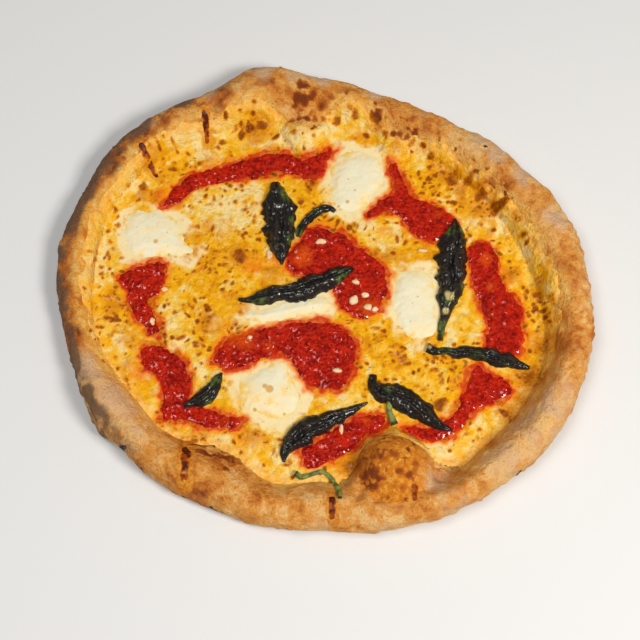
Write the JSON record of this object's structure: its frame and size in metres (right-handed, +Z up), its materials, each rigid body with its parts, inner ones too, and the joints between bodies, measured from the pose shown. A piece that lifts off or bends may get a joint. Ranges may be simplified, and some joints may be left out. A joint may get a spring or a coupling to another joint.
{
  "type": "margherita pizza",
  "caption": "Whole round baked pizza with a puffed rim, melted cheese, tomato sauce, mozzarella pools and wilted basil; lies flat, to be eaten or sliced.",
  "frame": {"origin": "centre of the bounding box at the flat underside of the dough", "axes": "+Z up out of the toppings, +X along the longest side, +Y along the shorter side away from the big bubble in the rim"},
  "size_m": [0.2866, 0.2612, 0.0239],
  "materials": {
    "dough": "baked, matte, floury with brown and charred spots",
    "cheese": "melted, oily, golden with brown bubbles",
    "sauce": "wet, pulpy tomato",
    "mozzarella": "melted, smooth, creamy white",
    "basil": "wilted, oily, dark green"
  },
  "bodies": {
    "root": {"crust": "dough", "melted_cheese": "cheese", "sauce_top": "sauce", "sauce_upper_right": "sauce", "sauce_centre": "sauce", "sauce_middle": "sauce", "sauce_left": "sauce", "sauce_lower_left": "sauce", "sauce_bottom": "sauce", "sauce_lower_right": "sauce", "sauce_right": "sauce", "mozzarella_upper_right": "mozzarella", "mozzarella_right": "mozzarella", "mozzarella_left": "mozzarella", "mozzarella_centre": "mozzarella", "mozzarella_lower_left": "mozzarella", "basil_top": "basil", "basil_curl": "basil", "basil_centre": "basil", "basil_right": "basil", "basil_far_right": "basil", "basil_lower_right": "basil", "basil_bottom": "basil", "basil_lower_left": "basil", "basil_stalk": "basil"}
  },
  "joints": []
}
